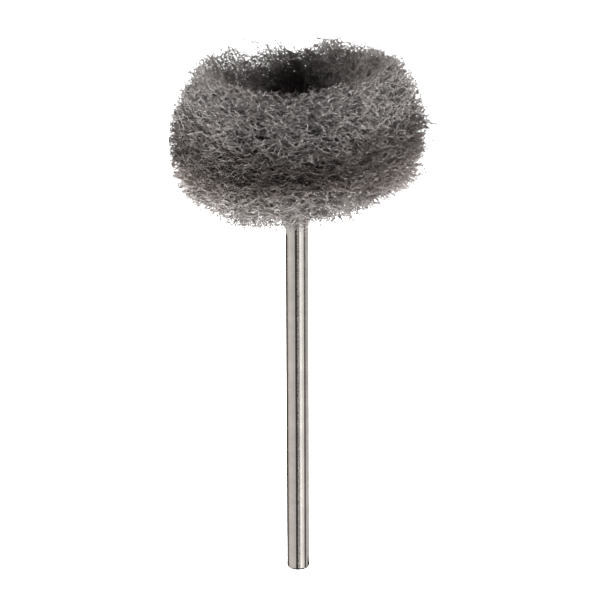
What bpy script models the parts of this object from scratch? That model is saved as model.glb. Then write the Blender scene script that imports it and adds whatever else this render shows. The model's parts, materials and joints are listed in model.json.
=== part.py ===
"""Polishing brush: two thick fleece discs, clamped by a screw on a slim steel mandrel.

Each piece is modelled in the brush's own frame: the mandrel's tip at the origin, the
axis along +Z, and the side that looks up when the brush lies on a bench along -Y.
The whole brush is then laid down, tip and lower disc on the bench at z = 0.
Metres, +Z up.
"""

import math

import bpy
from mathutils import Vector

MM = 0.001
GAP = 0.3 * MM  # clearance between pieces that touch

# Mandrel
SHANK_DIAMETER = 2.35 * MM
MANDREL_LENGTH = 44.5 * MM  # tip to the face that carries the fleece
TIP_ROUND = 0.28 * MM  # radius of the rounded edge at the free end
COLLAR_DIAMETER = 3.6 * MM
COLLAR_LENGTH = 2.6 * MM
FLANGE_DIAMETER = 6.4 * MM
FLANGE_THICKNESS = 0.8 * MM
FLANGE_CHAMFER = 0.15 * MM
TAPPED_DEPTH = 4.2 * MM
DRILL_POINT_ANGLE = math.radians(31)

# Clamp screw and washer
SCREW_DIAMETER = 1.6 * MM
SCREW_REACH = 3.2 * MM  # how far the screw goes into the mandrel
SCREW_HEAD_DIAMETER = 3.4 * MM
SCREW_HEAD_HEIGHT = 1.1 * MM
SCREW_HEAD_CHAMFER = 0.15 * MM
SLOT_WIDTH = 0.5 * MM
SLOT_DEPTH = 0.45 * MM
WASHER_DIAMETER = 6.4 * MM
WASHER_THICKNESS = 0.5 * MM
WASHER_CHAMFER = 0.1 * MM

# Fleece discs
PAD_CORE_THICKNESS = 1.0 * MM  # each disc where it is squeezed under the clamp
UPPER_PAD_RADIUS = 12.8 * MM
UPPER_RIM_RADIUS = 9.4 * MM
UPPER_RIM_HEIGHT = 7.9 * MM  # rim above the seam between the discs
UPPER_HOLLOW_RADIUS = 7.2 * MM  # at the top of the hollow's wall
LOWER_PAD_RADIUS = 12.6 * MM
LOWER_RIM_RADIUS = 9.8 * MM
LOWER_RIM_DROP = 4.8 * MM  # rim below the seam between the discs
LOWER_HOLLOW_RADIUS = 5.6 * MM
CREASE_INSET = 0.6 * MM  # how far the seam lies in from the widest place
BULGE_SHARE = 0.16  # height of the widest place, as a share of the rim's height
CROWN_SHARE = 0.42  # the rim's round inner edge, as a share of the wall's height
SHOULDER_EASE = 1.15  # over 1: less full than an ellipse between rim and bulge
WALL_OUT = 0.62  # the hollow's wall bends here, as a share of the way out
WALL_UP = 0.38  # and of the way up

# Lobes and folds of the soft rims
LOBES = 5
LOBE_DEPTH = 0.25 * MM
UPPER_LOBE_PHASE = math.radians(40)
LOWER_LOBE_PHASE = math.radians(165)
SIDE_RISE = 0.35 * MM  # the upper rim is a saddle, higher at its sides
NOTCH_DEPTH = 1.1 * MM
NOTCH_AT = math.radians(88)  # at the back of the upper rim
NOTCH_HALF_WIDTH = math.radians(13)
PLEAT_DEPTH = 1.4 * MM
PLEAT_AT = math.radians(20)  # at the right of the upper rim
PLEAT_HALF_WIDTH = math.radians(16)
CANT_RISE = 0.6 * MM  # the discs lean, higher at the right edge, lower at the left
SAG = 0.6 * MM  # the lower disc is less full at the front right
SAG_AT = math.radians(-40)
SAG_HALF_WIDTH = math.radians(55)

# Lying on the bench
FLAT_DEPTH = 0.3 * MM  # how far the lower disc is pressed in where it lies
BENCH_SIZE = 200 * MM

SHANK_SIDES = 32
SMALL_SIDES = 32
PAD_SIDES = 64
ARC_STEPS = 4
SHOULDER_STEPS = 6

SEAM_Z = MANDREL_LENGTH + GAP + PAD_CORE_THICKNESS + GAP / 2
WASHER_Z = SEAM_Z + GAP / 2 + PAD_CORE_THICKNESS + GAP
SCREW_HEAD_Z = WASHER_Z + WASHER_THICKNESS + GAP
SCREW_HOLE_RADIUS = SCREW_DIAMETER / 2 + GAP


def clear_scene():
    for old in list(bpy.data.objects):
        bpy.data.objects.remove(old, do_unlink=True)


def collection(name):
    made = bpy.data.collections.new(name)
    bpy.context.scene.collection.children.link(made)
    return made


def material(name, colour, roughness, metallic):
    made = bpy.data.materials.new(name)
    made.use_nodes = True
    shader = made.node_tree.nodes["Principled BSDF"]
    shader.inputs["Base Color"].default_value = (*colour, 1.0)
    shader.inputs["Roughness"].default_value = roughness
    shader.inputs["Metallic"].default_value = metallic
    made.diffuse_color = (*colour, 1.0)
    return made


def made_solid(part):
    """The object's evaluated shape as its own mesh, with no modifier left."""
    bpy.context.view_layer.update()
    graph = bpy.context.evaluated_depsgraph_get()
    mesh = bpy.data.meshes.new_from_object(part.evaluated_get(graph))
    part.modifiers.clear()
    part.data = mesh
    mesh.set_sharp_from_angle(angle=math.radians(40))
    return part


def turned(name, profile, sides, closed=False):
    """A profile of (radius, z) points turned about Z, as a mesh object."""
    edges = [(i, i + 1) for i in range(len(profile) - 1)]
    if closed:
        edges.append((len(profile) - 1, 0))
    mesh = bpy.data.meshes.new(name)
    mesh.from_pydata([(radius, 0.0, z) for radius, z in profile], edges, [])
    part = bpy.data.objects.new(name, mesh)
    bpy.context.scene.collection.objects.link(part)
    screw = part.modifiers.new("Turn", "SCREW")
    screw.axis = "Z"
    screw.steps = screw.render_steps = sides
    screw.use_merge_vertices = True
    screw.merge_threshold = 0.000005
    return made_solid(part)


def arc(centre_r, centre_z, radius_r, radius_z, start, end, steps, ease=1.0):
    """Points of an ellipse's arc in the profile plane, angles from +radius.

    ease over 1 makes it less full than an ellipse.
    """
    points = []
    for i in range(steps + 1):
        angle = start + (end - start) * i / steps
        across = math.copysign(abs(math.cos(angle)) ** ease, math.cos(angle))
        up = math.copysign(abs(math.sin(angle)) ** ease, math.sin(angle))
        points.append((centre_r + radius_r * across, centre_z + radius_z * up))
    return points


def make_mandrel():
    """Shank, collar and flange in one piece, with the tapped hole in its top."""
    shank_r = SHANK_DIAMETER / 2
    collar_r = COLLAR_DIAMETER / 2
    flange_r = FLANGE_DIAMETER / 2
    flange_z = MANDREL_LENGTH - FLANGE_THICKNESS
    collar_z = flange_z - COLLAR_LENGTH
    hole_z = MANDREL_LENGTH - TAPPED_DEPTH
    drill_point = SCREW_HOLE_RADIUS * math.tan(DRILL_POINT_ANGLE)
    profile = [
        (0.0, hole_z - drill_point),
        (SCREW_HOLE_RADIUS, hole_z),
        (SCREW_HOLE_RADIUS, MANDREL_LENGTH),
        (flange_r - FLANGE_CHAMFER, MANDREL_LENGTH),
        (flange_r, MANDREL_LENGTH - FLANGE_CHAMFER),
        (flange_r, flange_z + FLANGE_CHAMFER),
        (flange_r - FLANGE_CHAMFER, flange_z),
        (collar_r, flange_z),
        (collar_r, collar_z),
        (shank_r, collar_z - (collar_r - shank_r)),
    ]
    profile += arc(shank_r - TIP_ROUND, TIP_ROUND, TIP_ROUND, TIP_ROUND,
                   0.0, -math.pi / 2, ARC_STEPS)
    profile.append((0.0, 0.0))
    return turned("mandrel", profile, SHANK_SIDES)


def make_clamp_washer():
    outer = WASHER_DIAMETER / 2
    top = WASHER_Z + WASHER_THICKNESS
    profile = [
        (SCREW_HOLE_RADIUS, top),
        (outer - WASHER_CHAMFER, top),
        (outer, top - WASHER_CHAMFER),
        (outer, WASHER_Z + WASHER_CHAMFER),
        (outer - WASHER_CHAMFER, WASHER_Z),
        (SCREW_HOLE_RADIUS, WASHER_Z),
    ]
    return turned("clamp_washer", profile, SMALL_SIDES, closed=True)


def make_clamp_screw(cutters):
    head_r = SCREW_HEAD_DIAMETER / 2
    core_r = SCREW_DIAMETER / 2
    top = SCREW_HEAD_Z + SCREW_HEAD_HEIGHT
    end = MANDREL_LENGTH - SCREW_REACH
    profile = [
        (0.0, top),
        (head_r - SCREW_HEAD_CHAMFER, top),
        (head_r, top - SCREW_HEAD_CHAMFER),
        (head_r, SCREW_HEAD_Z),
        (core_r, SCREW_HEAD_Z),
        (core_r, end + core_r / 2),
        (core_r / 2, end),
        (0.0, end),
    ]
    part = turned("clamp_screw", profile, SMALL_SIDES)
    bpy.ops.mesh.primitive_cube_add(size=1.0, location=(0.0, 0.0, top))
    slot = bpy.context.active_object
    slot.name = "slot_cutter"
    slot.scale = (SCREW_HEAD_DIAMETER * 2, SLOT_WIDTH, SLOT_DEPTH * 2)
    as_cutter(slot, cutters)
    cut = part.modifiers.new("Slot", "BOOLEAN")
    cut.operation = "DIFFERENCE"
    cut.object = slot
    return part, slot


def as_cutter(part, cutters):
    for home in list(part.users_collection):
        home.objects.unlink(part)
    cutters.objects.link(part)
    part.hide_render = True
    part.display_type = "WIRE"


def pad_profile(clamp_diameter, pad_radius, rim_radius, rim_height, hollow_radius):
    """Half section of a disc above the seam, as (radius, height) points.

    The web is squeezed flat under the clamp, stands up in a round rim and
    bulges outwards: the hollow's wall, the rim, the outer side, the seam.
    """
    clamp_r = clamp_diameter / 2 + GAP
    core = PAD_CORE_THICKNESS
    bulge = rim_height * BULGE_SHARE
    crown = rim_height - (rim_height - core) * CROWN_SHARE
    wall = (
        clamp_r + (hollow_radius - clamp_r) * WALL_OUT,
        core + (crown - core) * WALL_UP,
    )
    top = arc(rim_radius, crown, rim_radius - hollow_radius, rim_height - crown,
              math.pi, math.pi / 2, ARC_STEPS)
    shoulder = arc(rim_radius, bulge, pad_radius - rim_radius, rim_height - bulge,
                   math.pi / 2, 0.0, SHOULDER_STEPS, SHOULDER_EASE)
    foot = arc(pad_radius - CREASE_INSET, bulge, CREASE_INSET, bulge,
               0.0, -math.pi / 2, ARC_STEPS)
    flat = [(SCREW_HOLE_RADIUS, core), (clamp_r, core), wall]
    return flat + top + shoulder[1:] + foot[1:] + [(SCREW_HOLE_RADIUS, 0.0)]


def near(angle, middle, half_width):
    """1 at the middle angle, falling smoothly to 0 at half_width and beyond."""
    off = abs((angle - middle + math.pi) % (2 * math.pi) - math.pi)
    return 0.5 + 0.5 * math.cos(math.pi * min(1.0, off / half_width))


def pushed_out(point, amount):
    """Moves a point away from the axis."""
    radius = math.hypot(point.x, point.y)
    point.x *= (radius + amount) / radius
    point.y *= (radius + amount) / radius


def soften_upper(point):
    """Lobes, the higher sides, the notch at the back and the pleat at the right."""
    angle = math.atan2(point.y, point.x)
    height = point.z - SEAM_Z - PAD_CORE_THICKNESS
    share = max(0.0, min(1.0, height / (UPPER_RIM_HEIGHT - PAD_CORE_THICKNESS)))
    lobe = math.sin(LOBES * angle + UPPER_LOBE_PHASE)
    notch = near(angle, NOTCH_AT, NOTCH_HALF_WIDTH)
    pleat = near(angle, PLEAT_AT, PLEAT_HALF_WIDTH)
    rise = LOBE_DEPTH * lobe + SIDE_RISE * math.cos(2 * angle) - NOTCH_DEPTH * notch
    point.z += share * rise
    pushed_out(point, share * (LOBE_DEPTH * lobe - PLEAT_DEPTH * pleat))


def soften_lower(point):
    """Lobes of the lower rim, which is less full at the front right."""
    angle = math.atan2(point.y, point.x)
    height = SEAM_Z - point.z - PAD_CORE_THICKNESS
    share = max(0.0, min(1.0, height / (LOWER_RIM_DROP - PAD_CORE_THICKNESS)))
    lobe = math.sin(LOBES * angle + LOWER_LOBE_PHASE)
    slack = near(angle, SAG_AT, SAG_HALF_WIDTH)
    point.z += share * (LOBE_DEPTH * lobe + SAG * slack)
    pushed_out(point, -share * SAG * slack)


def cant(point):
    """Leans the discs about Y, from nothing at the clamp to the full rise outside."""
    clamp_r = FLANGE_DIAMETER / 2
    radius = math.hypot(point.x, point.y)
    share = max(0.0, radius - clamp_r) / (UPPER_PAD_RADIUS - clamp_r)
    point.z += CANT_RISE * share * point.x / radius


def make_pad(name, profile, soften):
    part = turned(name, profile, PAD_SIDES, closed=True)
    for vertex in part.data.vertices:
        soften(vertex.co)
        cant(vertex.co)
    part.data.shade_smooth()
    return part


def make_upper_pad():
    half = pad_profile(WASHER_DIAMETER, UPPER_PAD_RADIUS, UPPER_RIM_RADIUS,
                       UPPER_RIM_HEIGHT, UPPER_HOLLOW_RADIUS)
    base = SEAM_Z + GAP / 2
    return make_pad("upper_fleece_pad", [(r, base + h) for r, h in half], soften_upper)


def make_lower_pad():
    half = pad_profile(FLANGE_DIAMETER, LOWER_PAD_RADIUS, LOWER_RIM_RADIUS,
                       LOWER_RIM_DROP, LOWER_HOLLOW_RADIUS)
    base = SEAM_Z - GAP / 2
    turned_down = [(r, base - h) for r, h in reversed(half)]
    return make_pad("lower_fleece_pad", turned_down, soften_lower)


def lying_tilt(pads):
    """Angle of the axis over the bench, tip down, with the discs pressed in a little."""
    tip_y = SHANK_DIAMETER / 2
    tip_z = TIP_ROUND
    steepest = 0.0
    for pad in pads:
        for vertex in pad.data.vertices:
            out = vertex.co.y - tip_y
            along = vertex.co.z - tip_z
            reach = math.hypot(out, along)
            angle = math.atan2(out, along) - math.asin(FLAT_DEPTH / reach)
            steepest = max(steepest, angle)
    return steepest


def world_bounds(parts):
    bpy.context.view_layer.update()
    graph = bpy.context.evaluated_depsgraph_get()
    points = []
    for part in parts:
        shown = part.evaluated_get(graph)
        mesh = shown.to_mesh()
        points += [shown.matrix_world @ vertex.co for vertex in mesh.vertices]
        shown.to_mesh_clear()
    low = Vector([min(p[i] for p in points) for i in range(3)])
    high = Vector([max(p[i] for p in points) for i in range(3)])
    return low, high


def lay_down(mandrel, pads, parts, cutters):
    """Tilts the brush onto the bench, flattens it there and centres it in x and y."""
    seat = bpy.data.objects.new("brush_axis", None)
    bpy.context.scene.collection.objects.link(seat)
    seat.rotation_euler.x = lying_tilt(pads) - math.pi / 2
    for part in parts:
        part.parent = seat
    tip_low = world_bounds([mandrel])[0].z
    seat.location.z -= tip_low
    bpy.ops.mesh.primitive_cube_add(size=BENCH_SIZE, location=(0.0, 0.0, -BENCH_SIZE / 2))
    bench = bpy.context.active_object
    bench.name = "bench_cutter"
    as_cutter(bench, cutters)
    for pad in pads:
        flat = pad.modifiers.new("Flat spot", "BOOLEAN")
        flat.operation = "DIFFERENCE"
        flat.object = bench
    low, high = world_bounds([mandrel, *pads])
    seat.location.x -= (low.x + high.x) / 2
    seat.location.y -= (low.y + high.y) / 2


def main():
    clear_scene()
    brush = collection("polishing_brush")
    cutters = collection("cutters")
    steel = material("satin_steel", (0.62, 0.60, 0.58), 0.28, 1.0)
    bright = material("bright_steel", (0.70, 0.69, 0.68), 0.22, 1.0)
    upper_web = material("upper_grey_web", (0.20, 0.20, 0.20), 0.75, 0.0)
    lower_web = material("lower_grey_web", (0.17, 0.17, 0.17), 0.75, 0.0)
    mandrel = make_mandrel()
    washer = make_clamp_washer()
    screw, slot = make_clamp_screw(cutters)
    upper = make_upper_pad()
    lower = make_lower_pad()
    looks = {mandrel: steel, washer: bright, screw: bright, upper: upper_web, lower: lower_web}
    for part, look in looks.items():
        part.data.materials.clear()
        part.data.materials.append(look)
        bpy.context.scene.collection.objects.unlink(part)
        brush.objects.link(part)
    lay_down(mandrel, [upper, lower], [*looks, slot], cutters)


main()
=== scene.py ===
"""Looks of the polishing brush: crimped fibre webs, satin steel, studio and camera."""

import json
import math

import bpy
import numpy as np
from mathutils import Matrix, Vector
from mathutils.bvhtree import BVHTree


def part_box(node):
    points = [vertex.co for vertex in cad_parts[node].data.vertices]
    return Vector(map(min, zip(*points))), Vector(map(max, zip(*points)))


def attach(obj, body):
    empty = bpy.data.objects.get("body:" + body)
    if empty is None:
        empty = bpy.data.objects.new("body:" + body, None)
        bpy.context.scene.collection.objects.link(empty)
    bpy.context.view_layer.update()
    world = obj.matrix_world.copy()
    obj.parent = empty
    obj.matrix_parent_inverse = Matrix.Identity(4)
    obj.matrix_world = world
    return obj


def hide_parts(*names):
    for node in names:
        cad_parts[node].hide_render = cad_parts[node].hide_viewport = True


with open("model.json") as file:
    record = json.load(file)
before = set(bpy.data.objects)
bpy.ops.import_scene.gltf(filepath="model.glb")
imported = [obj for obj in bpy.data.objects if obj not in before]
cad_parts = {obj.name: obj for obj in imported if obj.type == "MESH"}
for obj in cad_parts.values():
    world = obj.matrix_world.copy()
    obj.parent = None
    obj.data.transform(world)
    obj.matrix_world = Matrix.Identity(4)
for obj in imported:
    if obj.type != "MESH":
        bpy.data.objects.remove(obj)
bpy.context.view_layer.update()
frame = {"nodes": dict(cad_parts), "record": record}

MM = 0.001
WHITE = (1.0, 1.0, 1.0)

# The brush's own axis, from the mount at the free end of the mandrel
SHANK_END = next(m for m in frame["record"]["mounts"] if m["name"] == "shank_end")
TIP = Vector(SHANK_END["pos_m"])
AXIS = -Vector(SHANK_END["axis"]).normalized()
ACROSS = Vector((1.0, 0.0, 0.0))
UP_SIDE = ACROSS.cross(AXIS).normalized()  # the side of the brush that looks up
REAR = -np.array(UP_SIDE)

# Camera
VIEW_ABOVE = math.radians(19.3)  # how far the view tips from square on to the axis
VIEW_DISTANCE = 305 * MM
VIEW_ALONG = 29.6 * MM  # from the tip to the middle of the picture
VIEW_ASIDE = 0.28 * MM
VIEW_ROLL = math.radians(-0.20)
LENS = 180.0
SENSOR = 36.0
CLIP = (0.01, 10.0)

# Lights: angle round the axis from the upper side towards +X, angle from there
# towards the head, width and length as angles, all in degrees, and radiance
LIGHT_DISTANCE = 0.5
SOFTBOXES = {
    "left_box": (-61, -20, 64, 50, 0.66),
    "right_box": (27, -22, 26, 24, 1.36),
    "right_side": (54, -22, 27, 24, 0.97),
    "left_kick": (-84, 15, 26, 32, 54.0),
    "right_kick": (84, 15, 26, 32, 56.0),
    "low_kick": (0, -48, 70, 24, 9.0),
}
UNMIRRORED = ("low_kick",)  # or the end of the pin would mirror it

# Strips beside the shank that only its reflections see, painted dark or glowing reflections:
# angle as above, distance, width and glow
STRIPS = {
    "left_flag": (-120, 3 * MM, 3.5 * MM, 0.0),
    "left_card": (-73, 3 * MM, 1.6 * MM, 0.66),
    "right_flag": (89, 30 * MM, 9 * MM, 0.0),
}
STRIP_BEFORE = 20 * MM  # they start this far before the tip and end this far past it
STRIP_AFTER = 36 * MM
TIP_CARD = (8 * MM, 25 * MM)  # width and length of the card before the tip
TIP_CARD_UNDER = 0.2 * MM  # how far it reaches under the tip
TIP_CARD_LIFT = 0.03 * MM
CARD_COLOUR = (0.02, 0.015, 0.012)
CARD_GLOW_COLOUR = (1.0, 0.98, 0.96)

# Floor and room
FLOOR_HALF = 1.5
FLOOR_COLOUR = (0.92, 0.92, 0.92)
FLOOR_GLOW = 2.2  # the floor is a light table, so that the white shows through the web
FLOOR_SHEEN = 0.62  # painted reflection: the glow that the steel mirrors of the floor, in place of its lit colour and glow
FLOOR_SHEEN_COLOUR = (1.0, 0.99, 0.98)
ROOM = (0.05, 0.045, 0.042)
BACKDROP = (0.90, 0.90, 0.90)  # the room as the camera sees it

# Steel: colour, roughness, scale of the grain and depth of its bump
STEEL = {
    "satin_steel": ((0.68, 0.64, 0.60), 0.16, 5200.0, 0.009 * MM),
    "bright_steel": ((0.72, 0.71, 0.69), 0.2, 4200.0, 0.002 * MM),
}
STEEL_NODES = {
    "mandrel": "satin_steel",
    "clamp_washer": "bright_steel",
    "clamp_screw": "bright_steel",
}
GRAIN_STRETCH = 0.7  # the grain is a little longer round the pin than along it
BLOTCH_SCALE = 1 / 8  # of the grain's
BLOTCH_SHADE = 0.86

# Colour of the web
STRETCH_SCALE, STRETCH_SHARE = 900.0, 0.45  # from stretch to stretch of a fibre
PATCH_SCALE, PATCH_SHARE = 130.0, 0.30  # and from patch to patch of the disc
# the darkest painted shade of the web: deep inside it, in the fold between the discs and in
# the cup
PAINTED_SHADE_TINT = (0.35, 0.314, 0.292)

# Webs: the other disc, pieces, fibres in each, material with its darkest and lightest
# fibre, slot and seed
WEBS = {
    "upper_fleece_pad": (
        "lower_fleece_pad", 3, 9900,
        "upper_web", (0.100, 0.091, 0.086), (0.205, 0.187, 0.178), "upper_grey_web", 11),
    # the two discs are one grey web; the lower disc's fibres are painted lighter than the
    # upper's, for the light that reaches it
    "lower_fleece_pad": (
        "upper_fleece_pad", 2, 9900,
        "lower_web_painted_lighter", (0.185, 0.169, 0.160), (0.38, 0.347, 0.330), "lower_grey_web", 23),
}

# Form of a fibre
FIBRE_POINTS = 11
FIBRE_LENGTH = (2.4 * MM, 3.6 * MM)
FIBRE_WIDTH = (0.050 * MM, 0.076 * MM)
FIBRE_TWIST = 1 / (2.5 * MM)
FIBRE_TILT = 0.6  # how far a band's flat side turns from the web's own surface, in radians
FACING_SPREAD = 0.05
ROUNDING = 1.0  # radians that its shading turns from the middle to either edge
CRIMP_LENGTH = (0.6 * MM, 1.1 * MM)
CRIMP_DEPTH = (0.06 * MM, 0.13 * MM)
SWING_PACE = (0.55, 0.85)  # the crimp to the other side is slower and shallower
SWING_DEPTH = 0.8
BEND = 1 / (7.0 * MM)

# How the fibres lie
SEAM_ALONG = 45.95 * MM  # from the tip to the plane between the two discs
CLAMP_RADIUS = 3.5 * MM  # the layers of the web fan out from here
FAN_LEAST = 0.5 * MM
LAYER_SPREAD = 1.1  # how freely a fibre turns within its layer, in radians
LAYER_LEAVING = 0.35  # how steeply it may leave its layer

# Density, as shares of the densest
SEED_BATCH = 2000
PRESSED_WIDTH = 3.0 * MM  # the web is pressed together this near to the other disc
LOOSE_SHARE = 0.60  # and looser further out
CUP_ALONG = 49.5 * MM  # but the wall of the cup gets dense again from here
CUP_OVER = 3.5 * MM
SPARSE_SHARE = 0.50  # except at its back left, beyond this x and this far along
SPARSE_FROM = (-3.0 * MM, 51.0 * MM)
HIDDEN_SHARE = 0.3  # where the discs touch, out to this radius
HIDDEN_RADIUS = 9.5 * MM
TOUCHING = 0.3 * MM
CORE_SHARE = 0.2  # few fibres are needed deep inside
CORE_DEPTH = 2.2 * MM
SKIN_SHARE = 0.2  # the surface thins out to this share at the left and right
SKIN_DEPTH = 1.8 * MM
SIDE_TURN = 1.5

# How far fibres stand out of the solid
NEAT_REACH = 0.20 * MM
LEAST_REACH = 0.3  # each fibre has its own share of the reach, from this up
WAIST_REACH = 0.8 * MM  # more of it at the left and right of the seam
WAIST_FADE = 4
CREST_REACH = 2.0 * MM  # and most along the rims, outside this radius
CREST_FROM = 7.0 * MM
CREST_SHARPNESS = 4
STRAY_SHARE = 0.05
STRAY_REACH = 1.2 * MM
CLAMPED_TO = CLAMP_RADIUS * 1.3
CLAMP_REACH = 0.08 * MM
FLOOR_CLEAR = 0.07 * MM
TURN_BACK = 0.8 * MM  # a fibre that would leave the web arcs back into it this far
TURN_BACK_OVER = 0.6 * MM

# Whole fibres that stand off
UPPER_RISE = 1.5 * MM  # the cup's rim, except at its very front
LOWER_RISE = 1.2 * MM  # the lower rim
FRONT_FROM = -0.3  # a part of the radius, counted towards the back
SHOULDER = (6.0 * MM, 9.0 * MM)  # both fade out between these distances to either side
RIGHT_RISE = 1.9 * MM  # the right side, up to this far along
RIGHT_UP_TO = 49.0 * MM
TUFTS = ((-5.2 * MM, 2.6), (3.3 * MM, 0.6))  # x of each tuft at the rear rim, and its size
TUFT_WIDTH = 2.4 * MM
TUFT_RISE = 0.7

# Painted shade within the web
SHADE_DEPTH = 4.0 * MM  # painted shade darkens the web more and more down to here, as light fails to reach inside
HOLLOW_SHADE = 0.65  # painted shade where the surface turns into the cup
HOLLOW_FACING = 0.6
HOLLOW_FADE = 4
FOLD_WIDTH = {"upper_fleece_pad": 2.9 * MM, "lower_fleece_pad": 1.9 * MM}
FOLD_WIDER = 0.45  # the painted shade where the discs meet reaches further at the left and right
# painted shade in the fold where the discs meet
FOLD_SHADE = 0.95


def opaque(colour):
    return (*colour, 1.0)


def new_material(name):
    """A material with its nodes, its links and its shader."""
    made = bpy.data.materials.new(name)
    made.use_nodes = True
    tree = made.node_tree
    return made, tree.nodes, tree.links, tree.nodes["Principled BSDF"]


def noise(nodes, links, place, scale, detail=2.0, roughness=0.5):
    made = nodes.new("ShaderNodeTexNoise")
    made.inputs["Scale"].default_value = scale
    made.inputs["Detail"].default_value = detail
    made.inputs["Roughness"].default_value = roughness
    links.new(place, made.inputs["Vector"])
    return made.outputs["Fac"]


def ramp(nodes, links, value, *stops):
    made = nodes.new("ShaderNodeValToRGB")
    for element, (position, colour) in zip(made.color_ramp.elements, stops):
        element.position = position
        element.color = opaque(colour)
    links.new(value, made.inputs["Fac"])
    return made.outputs["Color"]


def with_share(nodes, links, first, second, share):
    """The first value, with a share of the second."""
    made = nodes.new("ShaderNodeMix")
    made.inputs["Factor"].default_value = share
    links.new(first, made.inputs[2])
    links.new(second, made.inputs[3])
    return made.outputs[0]


def attribute(nodes, name):
    made = nodes.new("ShaderNodeAttribute")
    made.attribute_name = name
    return made.outputs["Fac"]


def web_material(name, dark, light):
    """Grey crimped nylon: each fibre and each stretch of it has its own tone, darkened by
    painted shade deep in the web, in the fold between the discs and in the cup.
    """
    made, nodes, links, shader = new_material(name)
    place = nodes.new("ShaderNodeTexCoord").outputs["Object"]
    stretch = noise(nodes, links, place, STRETCH_SCALE)
    patch = noise(nodes, links, place, PATCH_SCALE, detail=1.0)
    tone = with_share(nodes, links, attribute(nodes, "fibre_shade"), stretch, STRETCH_SHARE)
    tone = with_share(nodes, links, tone, patch, PATCH_SHARE)
    own = ramp(nodes, links, tone, (0.30, dark), (0.72, light))
    # painted shade of each point, multiplied into the fibre's own colour below
    depth = attribute(nodes, "fibre_painted_shade")
    deep = ramp(nodes, links, depth, (0.10, WHITE), (0.75, PAINTED_SHADE_TINT))
    painted_shading = nodes.new("ShaderNodeMix")
    painted_shading.data_type = "RGBA"
    painted_shading.blend_type = "MULTIPLY"
    painted_shading.inputs["Factor"].default_value = 1.0
    links.new(own, painted_shading.inputs[6])
    links.new(deep, painted_shading.inputs[7])
    links.new(painted_shading.outputs[2], shader.inputs["Base Color"])
    shader.inputs["Roughness"].default_value = 0.42
    shader.inputs["Specular IOR Level"].default_value = 0.5
    return made


def steel_material(name, colour, roughness, grain_scale, bump_depth):
    """Satin steel: fine grain in its roughness and bump, and faint blotches of colour."""
    made, nodes, links, shader = new_material(name)
    turn = nodes.new("ShaderNodeMapping")
    turn.inputs["Rotation"].default_value = (-math.asin(AXIS.z), 0.0, 0.0)
    turn.inputs["Scale"].default_value = (GRAIN_STRETCH, 1.0, GRAIN_STRETCH)
    links.new(nodes.new("ShaderNodeTexCoord").outputs["Object"], turn.inputs["Vector"])
    place = turn.outputs["Vector"]
    grain = noise(nodes, links, place, grain_scale, detail=4.0, roughness=0.65)
    blotch = noise(nodes, links, place, grain_scale * BLOTCH_SCALE)
    dull = tuple(c * BLOTCH_SHADE for c in colour)
    tone = ramp(nodes, links, blotch, (0.3, dull), (0.7, colour))
    rough = nodes.new("ShaderNodeMapRange")
    rough.inputs["To Min"].default_value = roughness * 0.8
    rough.inputs["To Max"].default_value = roughness * 1.25
    bump = nodes.new("ShaderNodeBump")
    bump.inputs["Distance"].default_value = bump_depth
    bump.inputs["Strength"].default_value = 1.0
    links.new(tone, shader.inputs["Base Color"])
    links.new(grain, rough.inputs["Value"])
    links.new(rough.outputs["Result"], shader.inputs["Roughness"])
    links.new(grain, bump.inputs["Height"])
    links.new(bump.outputs["Normal"], shader.inputs["Normal"])
    shader.inputs["Metallic"].default_value = 1.0
    return made


def unit(vectors):
    return vectors / np.linalg.norm(vectors, axis=-1, keepdims=True)


def between(random, limits, count):
    return random.uniform(limits[0], limits[1], count)


def brush_place(points):
    """Each point's distance from the axis, its height along it and its directions."""
    axis = np.array(AXIS)
    out = points - np.array(TIP)
    along = out @ axis
    radial = out - along[..., None] * axis
    radius = np.linalg.norm(radial, axis=-1)
    outward = radial / radius[..., None]
    round_way = np.cross(axis, outward)
    return radius, along, outward, round_way


def density(corner, near, normal, off, other):
    """How dense the web is at a point inside a disc, from 0 to 1."""
    point = Vector(corner)
    radius, along, _, _ = brush_place(corner)
    pressed = math.exp(-(other.find_nearest(point)[3] / PRESSED_WIDTH) ** 2)
    cup = min(1.0, max(0.0, (along - CUP_ALONG) / CUP_OVER))
    share = LOOSE_SHARE + (1 - LOOSE_SHARE) * max(pressed, cup)
    at_rear = (point - TIP).dot(UP_SIDE) < 0
    if point.x < SPARSE_FROM[0] and along > SPARSE_FROM[1] and at_rear:
        share *= SPARSE_SHARE
    share *= CORE_SHARE + (1 - CORE_SHARE) * math.exp(-(off / CORE_DEPTH) ** 2)
    if other.find_nearest(near)[3] < TOUCHING and radius < HIDDEN_RADIUS:
        share *= HIDDEN_SHARE
    at_side = min(1.0, SIDE_TURN * normal.x ** 2)
    return share * (1 - (1 - SKIN_SHARE) * at_side * max(0.0, 1 - off / SKIN_DEPTH))


def seeds_inside(tree, other, low, high, random, count):
    """Points inside a disc's solid, as dense as the web is there."""
    found = []
    while len(found) < count:
        for corner in random.uniform(low, high, (SEED_BATCH, 3)):
            point = Vector(corner)
            near, normal, _, off = tree.find_nearest(point)
            if (point - near).dot(normal) > 0:
                continue
            if random.random() < density(corner, near, normal, off, other):
                found.append(corner)
    return np.array(found[:count])


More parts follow.
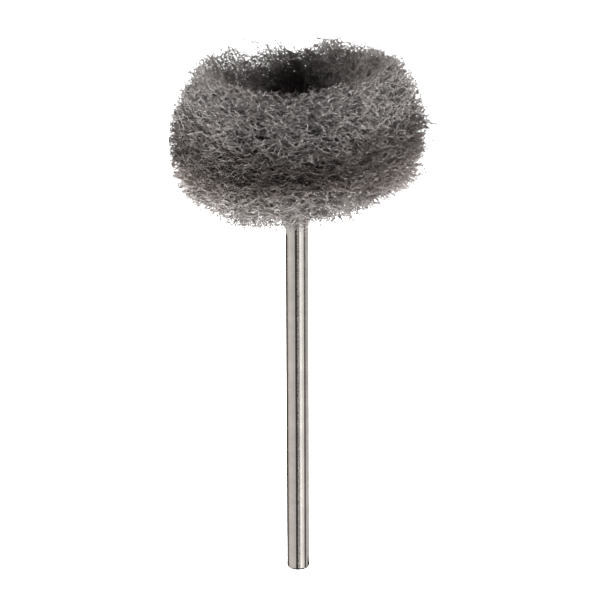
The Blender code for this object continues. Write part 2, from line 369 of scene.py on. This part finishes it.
def fibre_lines(seeds, random):
    """Crimped centre lines through the seeds, mostly along the layers of the web."""
    count = len(seeds)
    radius, along, outward, round_way = brush_place(seeds)
    axis = np.array(AXIS)
    fan = unit(
        np.maximum(radius - CLAMP_RADIUS, FAN_LEAST)[:, None] * outward
        + (along - SEAM_ALONG)[:, None] * axis
    )
    lift = np.cross(fan, round_way)
    angle = random.normal(0.0, LAYER_SPREAD, count)[:, None]
    heading = unit(
        np.cos(angle) * round_way
        + np.sin(angle) * fan
        + random.normal(0.0, LAYER_LEAVING, (count, 1)) * lift
    )
    side = unit(np.cross(heading, random.normal(size=(count, 3))))
    far_side = np.cross(heading, side)
    length = between(random, FIBRE_LENGTH, count)
    s = np.linspace(-0.5, 0.5, FIBRE_POINTS)[None, :] * length[:, None]
    turn = random.normal(0.0, BEND, (count, 1)) * side
    turn += random.normal(0.0, BEND, (count, 1)) * far_side
    turn -= (np.cos(angle) ** 2) * outward / radius[:, None]
    lines = seeds[:, None, :] + s[..., None] * heading[:, None, :]
    lines += 0.5 * s[..., None] ** 2 * turn[:, None, :]
    wave = 2 * math.pi * s / between(random, CRIMP_LENGTH, count)[:, None]
    swing = wave * random.uniform(*SWING_PACE, (count, 1))
    depth = between(random, CRIMP_DEPTH, count)[:, None]
    first = depth * np.sin(wave + random.uniform(0, 2 * math.pi, (count, 1)))
    second = SWING_DEPTH * depth * np.sin(swing + random.uniform(0, 2 * math.pi, (count, 1)))
    lines += first[..., None] * side[:, None, :] + second[..., None] * far_side[:, None, :]
    return lines


def reach(x, normal, crest, at_rear, fold):
    """How far a fibre may stand out of the disc at one place."""
    allowed = NEAT_REACH + (CREST_REACH - NEAT_REACH) * crest ** CREST_SHARPNESS
    allowed += WAIST_REACH * normal.x ** 2 * math.exp(-fold * fold / WAIST_FADE)
    if at_rear:
        for middle, more in TUFTS:
            allowed *= 1 + more * math.exp(-((x - middle) / TUFT_WIDTH) ** 2)
    return allowed


def stand_off(lines, facing, radius, along, outward, random):
    """Shifts of the whole fibres that stand off the rims, the tufts and the right side."""
    count, half = len(lines), FIBRE_POINTS // 2
    x, normal = lines[:, half, 0], facing[:, half]
    up = normal @ np.array(AXIS)
    rear = outward.mean(axis=1) @ REAR > FRONT_FROM
    rise = np.where(up > 0, UPPER_RISE * rear, LOWER_RISE)
    rise *= np.abs(up) ** 2 * random.random(count) ** 2 * (radius.mean(axis=1) > CREST_FROM)
    for middle, more in TUFTS:
        near_it = np.exp(-((x - middle) / TUFT_WIDTH) ** 2)
        rise *= 1 + TUFT_RISE * more * near_it * (up > 0)
    shoulder = (np.abs(x) - SHOULDER[0]) / (SHOULDER[1] - SHOULDER[0])
    rise *= 1 - np.clip(shoulder, 0, 1)
    right = np.maximum(normal[:, 0], 0.0) * (along[:, half] < RIGHT_UP_TO)
    rise += RIGHT_RISE * right * random.random(count) ** 2
    return rise[:, None, None] * normal[:, None, :]


def kept_in(lines, tree, other, fold_width, random):
    """Draws what would stand out of the disc back to it, short of a few stray loops.

    Also returns how much painted shade each point gets, by its depth, by the other disc
    and where the surface turns into the cup, and which way the disc's surface faces there.
    """
    count = len(lines)
    painted_shades = np.zeros((count, FIBRE_POINTS))
    facing = np.zeros((count, FIBRE_POINTS, 3))
    stray = random.random(count) < STRAY_SHARE
    share = random.uniform(LEAST_REACH, 1.0, count)
    turn_back = random.uniform(0.0, 1.0, count) * np.where(stray, 0.0, TURN_BACK)
    radius, along, outward, _ = brush_place(lines)
    for i in range(count):
        for k in range(FIBRE_POINTS):
            point = Vector(lines[i, k])
            near, normal, _, off = tree.find_nearest(point)
            facing[i, k] = normal
            wider = 1 + FOLD_WIDER * min(1.0, abs(point.x) / CREST_FROM)
            fold = other.find_nearest(point)[3] / (fold_width * wider)
            away = normal.dot(Vector(outward[i, k]))
            inward = min(1.0, max(0.0, HOLLOW_FACING * normal.dot(AXIS) - away))
            inward *= min(1.0, radius[i, k] / CREST_FROM) ** HOLLOW_FADE
            # painted shade in the fold by the other disc and where the surface turns into
            # the cup
            painted_shades[i, k] = FOLD_SHADE * math.exp(-fold * fold) + HOLLOW_SHADE * inward
            if (point - near).dot(normal) <= 0:
                # and more painted shade the deeper the point lies in the disc
                painted_shades[i, k] += off / SHADE_DEPTH
                continue
            crest = abs(normal.dot(AXIS)) if radius[i, k] > CREST_FROM else 0.0
            at_rear = crest and normal.dot(AXIS) > 0 and outward[i, k] @ REAR > 0
            allowed = reach(point.x, normal, crest, at_rear, fold)
            if stray[i]:
                allowed = max(allowed, STRAY_REACH)
            allowed *= share[i]
            kept = allowed * (1 - math.exp(-off / allowed))
            kept -= (1 - crest) * turn_back[i] * (1 - math.exp(-off / TURN_BACK_OVER))
            if radius[i, k] < CLAMPED_TO:
                kept = CLAMP_REACH * (1 - math.exp(-off / CLAMP_REACH))
            lines[i, k] = near + (point - near) * (kept / max(off, 1e-9))
    lines += stand_off(lines, facing, radius, along, outward, random)
    lines[..., 2] = np.maximum(lines[..., 2], FLOOR_CLEAR)
    return lines, painted_shades, facing


def fibre_mesh(name, lines, painted_shades, facing, random):
    """Thin bands along the lines, shaded as round fibres, as one mesh."""
    count = len(lines)
    ahead = unit(np.gradient(lines, axis=1))
    above = facing.mean(axis=1, keepdims=True)
    above = above + random.normal(0.0, FACING_SPREAD, (count, 1, 3))
    flat = unit(np.cross(ahead, above))
    up = np.cross(flat, ahead)
    along = np.arange(FIBRE_POINTS)[None, :] * (FIBRE_LENGTH[0] / FIBRE_POINTS)
    twist = along * random.normal(0.0, FIBRE_TWIST, (count, 1))
    twist = (twist + random.normal(0.0, FIBRE_TILT, (count, 1)))[..., None]
    half = between(random, FIBRE_WIDTH, count)[:, None, None] / 2
    side = np.cos(twist) * flat + np.sin(twist) * up
    face = np.cos(twist) * up - np.sin(twist) * flat
    points = np.stack([lines - half * side, lines + half * side], axis=2).reshape(-1, 3)
    round_face, round_side = math.cos(ROUNDING) * face, math.sin(ROUNDING) * side
    normals = np.stack([round_face - round_side, round_face + round_side], axis=2)
    start = np.arange(count)[:, None] * FIBRE_POINTS * 2
    step = np.arange(FIBRE_POINTS - 1)[None, :] * 2
    corner = start + step
    quads = np.stack([corner, corner + 1, corner + 3, corner + 2], axis=-1).reshape(-1, 4)
    mesh = bpy.data.meshes.new(name)
    mesh.vertices.add(len(points))
    mesh.vertices.foreach_set("co", points.astype(np.float32).ravel())
    mesh.loops.add(quads.size)
    mesh.loops.foreach_set("vertex_index", quads.ravel().astype(np.int32))
    mesh.polygons.add(len(quads))
    mesh.polygons.foreach_set("loop_start", np.arange(0, quads.size, 4, dtype=np.int32))
    mesh.update(calc_edges=True)
    # each fibre's random tone and each point's painted shade
    for label, values in (
        ("fibre_shade", np.repeat(random.random(count), FIBRE_POINTS * 2)),
        ("fibre_painted_shade", np.repeat(np.minimum(painted_shades, 1.0).ravel(), 2)),
    ):
        data = mesh.attributes.new(label, "FLOAT", "POINT").data
        data.foreach_set("value", values.astype(np.float32))
    mesh.shade_smooth()
    mesh.normals_split_custom_set_from_vertices(normals.reshape(-1, 3).astype(np.float32))
    return mesh


def solid_tree(node):
    mesh = frame["nodes"][node].data
    corners = [v.co.copy() for v in mesh.vertices]
    return BVHTree.FromPolygons(corners, [tuple(p.vertices) for p in mesh.polygons])


def make_web(node, other, pieces, fibres, material, seed):
    """Replaces a disc's solid by its fibres, in a few pieces."""
    random = np.random.default_rng(seed)
    tree, other_tree = solid_tree(node), solid_tree(other)
    low, high = (np.array(corner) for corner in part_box(node))
    for number in range(pieces):
        name = f"{node}_web_{number + 1}"
        seeds = seeds_inside(tree, other_tree, low, high, random, fibres)
        lines = fibre_lines(seeds, random)
        lines, painted_shades, facing = kept_in(lines, tree, other_tree, FOLD_WIDTH[node], random)
        web = bpy.data.objects.new(name, fibre_mesh(name, lines, painted_shades, facing, random))
        bpy.context.scene.collection.objects.link(web)
        web.data.materials.append(material)
        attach(web, "root")
        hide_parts(node)


def dress_steel():
    looks = {name: steel_material(name, *look) for name, look in STEEL.items()}
    for node, name in STEEL_NODES.items():
        slots = frame["nodes"][node].data.materials
        slots.clear()
        slots.append(looks[name])


def flat_object(name, corners, material):
    """A flat piece of the studio with four corners."""
    mesh = bpy.data.meshes.new(name)
    mesh.from_pydata(corners, [], [(0, 1, 2, 3)])
    mesh.materials.append(material)
    made = bpy.data.objects.new(name, mesh)
    bpy.context.scene.collection.objects.link(made)
    return made


def level_corners(near, far, half, height):
    return [(-half, near, height), (half, near, height), (half, far, height),
            (-half, far, height)]


def make_floor():
    """A wide pale floor at the height that the brush lies on."""
    paint, nodes, links, shader = new_material("floor_paint")
    shader.inputs["Base Color"].default_value = opaque(FLOOR_COLOUR)
    shader.inputs["Emission Color"].default_value = opaque(WHITE)
    shader.inputs["Emission Strength"].default_value = FLOOR_GLOW
    shader.inputs["Roughness"].default_value = 0.9
    shader.inputs["Specular IOR Level"].default_value = 0.1
    # glossy rays see the painted reflection glow instead of the floor's own shading
    ray = nodes.new("ShaderNodeLightPath")
    mirrored = nodes.new("ShaderNodeEmission")
    mirrored.inputs["Color"].default_value = opaque(FLOOR_SHEEN_COLOUR)
    mirrored.inputs["Strength"].default_value = FLOOR_SHEEN
    either = nodes.new("ShaderNodeMixShader")
    links.new(ray.outputs["Is Glossy Ray"], either.inputs["Fac"])
    links.new(shader.outputs["BSDF"], either.inputs[1])
    links.new(mirrored.outputs["Emission"], either.inputs[2])
    links.new(either.outputs["Shader"], nodes["Material Output"].inputs["Surface"])
    flat_object(
        "floor", level_corners(-FLOOR_HALF, FLOOR_HALF, FLOOR_HALF, 0.0), paint)


def round_axis(degrees):
    """The direction at an angle round the axis, and the one that turns it onwards."""
    angle = math.radians(degrees)
    out = math.cos(angle) * UP_SIDE + math.sin(angle) * ACROSS
    onwards = math.cos(angle) * ACROSS - math.sin(angle) * UP_SIDE
    return out, onwards


def softbox(name, round_angle, along_angle, width, length, radiance):
    """An area light facing the brush."""
    spin, _ = round_axis(round_angle)
    lean = math.radians(along_angle)
    back = math.cos(lean) * spin + math.sin(lean) * AXIS
    up = math.cos(lean) * AXIS - math.sin(lean) * spin
    side = up.cross(back)
    data = bpy.data.lights.new(name, "AREA")
    data.shape = "RECTANGLE"
    data.size = 2 * LIGHT_DISTANCE * math.tan(math.radians(width) / 2)
    data.size_y = 2 * LIGHT_DISTANCE * math.tan(math.radians(length) / 2)
    data.energy = radiance * math.pi * data.size * data.size_y
    light = bpy.data.objects.new(name, data)
    light.matrix_world = Matrix.Translation(back * LIGHT_DISTANCE) @ Matrix(
        (side, up, back)).transposed().to_4x4()
    light.visible_glossy = name not in UNMIRRORED
    bpy.context.scene.collection.objects.link(light)


def card(name, corners, glow):
    """A flat card that only reflections see: a painted dark or glowing reflection in the
    steel.
    """
    paint, _, _, shader = new_material(name + "_paint")
    shader.inputs["Base Color"].default_value = opaque(CARD_COLOUR)
    shader.inputs["Specular IOR Level"].default_value = 0.0
    shader.inputs["Emission Color"].default_value = opaque(CARD_GLOW_COLOUR)
    shader.inputs["Emission Strength"].default_value = glow
    made = flat_object(name, corners, paint)
    made.visible_camera = False
    made.visible_diffuse = False
    made.visible_shadow = False


def strip(name, round_angle, distance, width, glow):
    """A card along the shank, beside it."""
    out, side = round_axis(round_angle)
    out, side = distance * out, width / 2 * side
    start, end = TIP - STRIP_BEFORE * AXIS + out, TIP + STRIP_AFTER * AXIS + out
    card(name, [start - side, start + side, end + side, end - side], glow)


def make_studio():
    """Soft boxes at both sides, with the dark room between and beyond them."""
    for name, box in SOFTBOXES.items():
        softbox(name, *box)
    for name, shape in STRIPS.items():
        strip(name, *shape)
    width, length = TIP_CARD
    card("tip_card", level_corners(
        TIP.y - length, TIP.y + TIP_CARD_UNDER, width / 2, TIP_CARD_LIFT), 0.0)
    world = bpy.data.worlds.new("studio")
    bpy.context.scene.world = world
    world.use_nodes = True
    nodes, links = world.node_tree.nodes, world.node_tree.links
    ray = nodes.new("ShaderNodeLightPath")
    mix = nodes.new("ShaderNodeMix")
    mix.data_type = "RGBA"
    mix.inputs[6].default_value = opaque(ROOM)
    mix.inputs[7].default_value = opaque(BACKDROP)
    links.new(ray.outputs["Is Camera Ray"], mix.inputs["Factor"])
    links.new(mix.outputs[2], nodes["Background"].inputs["Color"])
    bpy.context.scene.view_settings.view_transform = "Standard"


def make_camera():
    data = bpy.data.cameras.new("camera")
    data.lens = LENS
    data.sensor_width = SENSOR
    data.clip_start, data.clip_end = CLIP
    camera = bpy.data.objects.new("camera", data)
    bpy.context.scene.collection.objects.link(camera)
    back = math.cos(VIEW_ABOVE) * UP_SIDE + math.sin(VIEW_ABOVE) * AXIS
    up = math.cos(VIEW_ABOVE) * AXIS - math.sin(VIEW_ABOVE) * UP_SIDE
    axes = Matrix((ACROSS, up, back)).transposed().to_4x4()
    middle = TIP + VIEW_ALONG * AXIS + VIEW_ASIDE * ACROSS
    place = Matrix.Translation(middle + VIEW_DISTANCE * back)
    camera.matrix_world = place @ axes @ Matrix.Rotation(VIEW_ROLL, 4, "Z")
    bpy.context.scene.camera = camera


make_camera()
make_floor()
make_studio()
dress_steel()
for disc, (other, pieces, fibres, look, dark, light, slot, seed) in WEBS.items():
    make_web(disc, other, pieces, fibres, web_material(look, dark, light), seed)
